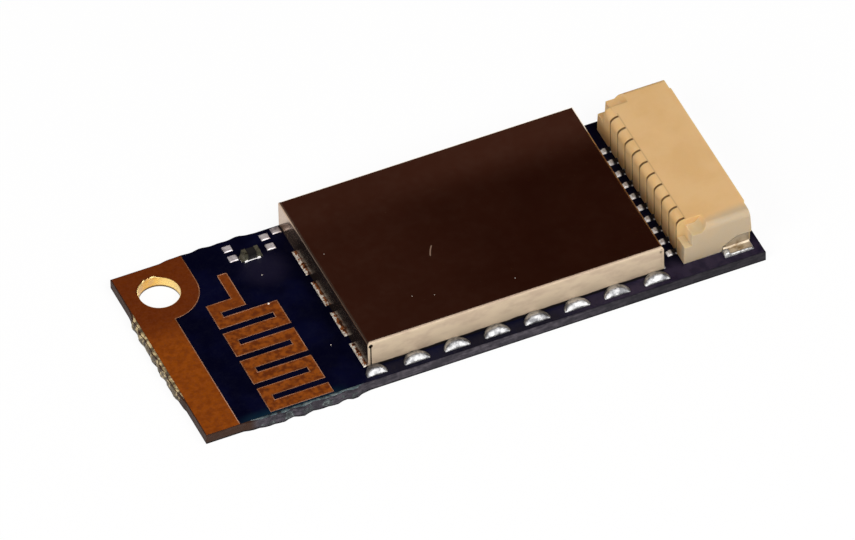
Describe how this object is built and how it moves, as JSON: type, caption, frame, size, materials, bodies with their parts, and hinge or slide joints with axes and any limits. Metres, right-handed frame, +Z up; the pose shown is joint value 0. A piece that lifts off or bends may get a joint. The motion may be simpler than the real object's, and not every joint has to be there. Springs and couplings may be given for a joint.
{
  "type": "short-range radio module",
  "caption": "Narrow circuit board with a printed meander antenna, a soldered shield can over the radio parts, a side-entry wire header and a plated screw hole.",
  "frame": {"origin": "centre of the board's underside, measured without the broken fibres on its edges", "axes": "+X along the board towards the wire header, +Z up out of the populated face"},
  "size_m": [0.0347, 0.0141, 0.0031],
  "materials": {
    "laminate": "matte, glass fibres showing on broken edges",
    "solder_mask": "gloss",
    "bare_copper": "satin, tarnished",
    "gold_plate": "satin",
    "tinned_pads": "satin",
    "solder": "gloss, uneven",
    "can_sheet": "satin, dull tinned sheet",
    "ivory_housing": "matte",
    "contact_tin": "satin",
    "chip_black": "matte",
    "chip_ends": "satin",
    "chip_ceramic": "matte",
    "chip_white": "matte"
  },
  "bodies": {
    "root": {"board_laminate": "laminate", "mask_top": "solder_mask", "ground_copper": "bare_copper", "antenna_trace": "bare_copper", "hole_plating": "gold_plate", "matching_pads": "tinned_pads", "matching_chip": "chip_black", "matching_chip_ends": "chip_ends", "matching_chip_solder": "solder", "shield_can": "can_sheet", "can_lands": "tinned_pads", "can_solder_near": "solder", "can_solder_antenna_side": "solder", "can_solder_connector_side": "solder", "connector_housing": "ivory_housing", "contact_01": "contact_tin", "contact_02": "contact_tin", "contact_03": "contact_tin", "contact_04": "contact_tin", "contact_05": "contact_tin", "contact_06": "contact_tin", "contact_07": "contact_tin", "contact_08": "contact_tin", "contact_09": "contact_tin", "contact_10": "contact_tin", "contact_pads": "tinned_pads", "contact_solder": "solder", "hold_down_near": "contact_tin", "hold_down_far": "contact_tin", "hold_down_pads": "tinned_pads", "hold_down_solder": "solder", "radio_chip": "chip_black", "radio_chip_lands": "gold_plate", "memory_chip": "chip_black", "memory_chip_leads": "chip_ends", "crystal_base": "chip_ceramic", "crystal_lid": "gold_plate", "band_filter": "chip_ceramic", "band_filter_ends": "chip_ends", "regulator": "chip_black", "regulator_leads": "chip_ends", "capacitors": "chip_ceramic", "capacitor_ends": "chip_ends", "inductors": "chip_white", "inductor_ends": "chip_ends"}
  },
  "joints": []
}
